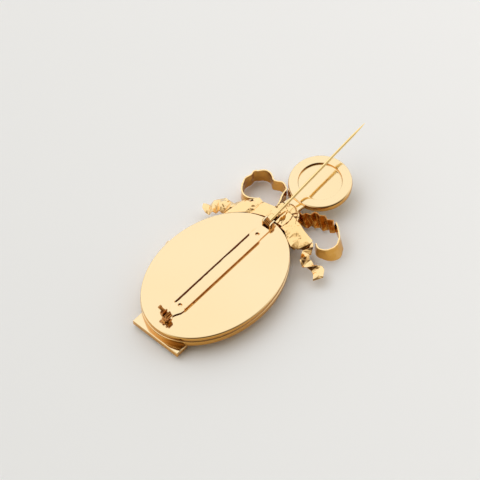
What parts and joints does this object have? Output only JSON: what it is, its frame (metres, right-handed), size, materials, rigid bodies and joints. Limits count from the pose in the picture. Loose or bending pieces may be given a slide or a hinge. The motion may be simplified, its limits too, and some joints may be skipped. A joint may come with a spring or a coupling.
{
  "type": "brooch fob watch",
  "caption": "Oval brooch watch with a ribbon bow, a round medallion and a foot plaque, lying on its glass; an opened hinged pin and a rotary safety catch sit on its back.",
  "frame": {"origin": "centre of the outer face of the front glass, at the middle of the oval case", "axes": "+Z out of the back, +Y towards the bow and 12 o'clock, +X towards 9 o'clock"},
  "size_m": [0.041, 0.0884, 0.0125],
  "materials": {
    "polished_gold": "gold-plated brass, polished",
    "pin_wire": "gold-plated wire",
    "glass": "clear flat mineral glass",
    "gasket": "pale soft gasket",
    "dial": "cream lacquer",
    "markers": "polished",
    "hands": "blued",
    "movement_brass": "brushed",
    "movement_steel": "polished",
    "jewel": "clear ruby"
  },
  "bodies": {
    "watch_head": {"back_cover": "polished_gold", "case_body": "polished_gold", "bezel": "polished_gold", "crystal": "glass", "crystal_gasket": "gasket", "dial": "dial", "hour_markers": "markers", "movement_holder": "movement_brass", "main_plate": "movement_brass", "barrel_arbor": "movement_steel", "barrel_bridge": "movement_brass", "train_bridge": "movement_brass", "balance_cock": "movement_brass", "bridge_screws": "movement_steel", "jewels": "jewel", "hairspring": "movement_steel", "pin_bar": "polished_gold", "hinge_rivet": "polished_gold", "catch_housing": "polished_gold", "bow_left_loop": "polished_gold", "bow_right_loop": "polished_gold", "ribbon_tail_left": "polished_gold", "ribbon_tail_right": "polished_gold", "bow_knot": "polished_gold", "bow_base": "polished_gold", "medallion": "polished_gold", "medallion_front": "polished_gold", "medallion_neck": "polished_gold", "plaque": "polished_gold"},
    "barrel_drum": {"barrel": "movement_brass", "mainspring": "movement_steel"},
    "centre_arbor": {"centre_wheel": "movement_brass", "cannon_pinion": "movement_steel", "minute_hand": "hands"},
    "hour_parts": {"hour_wheel": "movement_brass", "hour_hand": "hands"},
    "minute_work": {"minute_wheel": "movement_brass"},
    "third_arbor": {"third_wheel": "movement_brass"},
    "fourth_arbor": {"fourth_wheel": "movement_brass"},
    "escape_arbor": {"escape_wheel": "movement_steel"},
    "pallet": {"pallet_fork": "movement_steel"},
    "balance": {"balance_wheel": "movement_brass"},
    "winding": {"winding_stem": "movement_steel", "crown": "polished_gold"},
    "crown_gear": {"crown_wheel": "movement_brass"},
    "ratchet_gear": {"ratchet_wheel": "movement_steel"},
    "click_lever": {"click": "movement_steel"},
    "pin": {"pin_stem": "pin_wire"},
    "catch": {"catch_rotor": "polished_gold"}
  },
  "joints": [
    {"name": "pin_hinge", "type": "hinge", "parent": "watch_head", "child": "pin", "pos_m": [0, 0.0218, 0.0071], "axis": [1, 0, 0], "range_deg": [0, 171.28]},
    {"name": "catch_turn", "type": "hinge", "parent": "watch_head", "child": "catch", "pos_m": [0, -0.0197, 0.0082], "axis": [0, 1, 0], "range_deg": [0, 100]},
    {"name": "hands_turn", "type": "hinge", "parent": "watch_head", "child": "centre_arbor", "pos_m": [0, 0, 0.004], "axis": [0, 0, 1], "continuous": true},
    {"name": "hour_turn", "type": "hinge", "parent": "watch_head", "child": "hour_parts", "pos_m": [0, 0, 0.0029], "axis": [0, 0, 1], "continuous": true},
    {"name": "minute_work_turn", "type": "hinge", "parent": "watch_head", "child": "minute_work", "pos_m": [0.00144, 0.00249, 0.003], "axis": [0, 0, 1], "continuous": true},
    {"name": "barrel_turn", "type": "hinge", "parent": "watch_head", "child": "barrel_drum", "pos_m": [-0.00438, 0.00253, 0.0039], "axis": [0, 0, 1], "continuous": true},
    {"name": "third_turn", "type": "hinge", "parent": "watch_head", "child": "third_arbor", "pos_m": [0.00225, -0.0039, 0.004], "axis": [0, 0, 1], "continuous": true},
    {"name": "fourth_turn", "type": "hinge", "parent": "watch_head", "child": "fourth_arbor", "pos_m": [-0.0004, -0.00543, 0.004], "axis": [0, 0, 1], "continuous": true},
    {"name": "escape_turn", "type": "hinge", "parent": "watch_head", "child": "escape_arbor", "pos_m": [0.00193, -0.00776, 0.004], "axis": [0, 0, 1], "continuous": true},
    {"name": "pallet_rock", "type": "hinge", "parent": "watch_head", "child": "pallet", "pos_m": [0.00394, -0.00645, 0.00425], "axis": [0, 0, 1], "range_deg": [-5, 5]},
    {"name": "balance_swing", "type": "hinge", "parent": "watch_head", "child": "balance", "pos_m": [0.0063, -0.0049, 0.00385], "axis": [0, 0, 1], "range_deg": [-150, 150]},
    {"name": "crown_turn", "type": "hinge", "parent": "watch_head", "child": "winding", "pos_m": [-0.0173, 0, 0.00345], "axis": [-1, 0, 0], "continuous": true},
    {"name": "crown_wheel_turn", "type": "hinge", "parent": "watch_head", "child": "crown_gear", "pos_m": [-0.00902, 0, 0.00498], "axis": [0, 0, 1], "continuous": true},
    {"name": "ratchet_turn", "type": "hinge", "parent": "watch_head", "child": "ratchet_gear", "pos_m": [-0.00438, 0.00253, 0.00498], "axis": [0, 0, 1], "continuous": true},
    {"name": "click_rock", "type": "hinge", "parent": "watch_head", "child": "click_lever", "pos_m": [-0.00364, 0.00677, 0.00498], "axis": [0, 0, 1], "range_deg": [0, 8]}
  ],
  "couplings": [
    {"joint": "hour_turn", "follows": "hands_turn", "ratio": 0.083333},
    {"joint": "minute_work_turn", "follows": "hands_turn", "ratio": -0.33333},
    {"joint": "barrel_turn", "follows": "hands_turn", "ratio": -0.125},
    {"joint": "third_turn", "follows": "hands_turn", "ratio": -8},
    {"joint": "fourth_turn", "follows": "hands_turn", "ratio": 60},
    {"joint": "escape_turn", "follows": "hands_turn", "ratio": -600},
    {"joint": "crown_wheel_turn", "follows": "crown_turn", "ratio": 0.46},
    {"joint": "ratchet_turn", "follows": "crown_turn", "ratio": -0.38333}
  ]
}
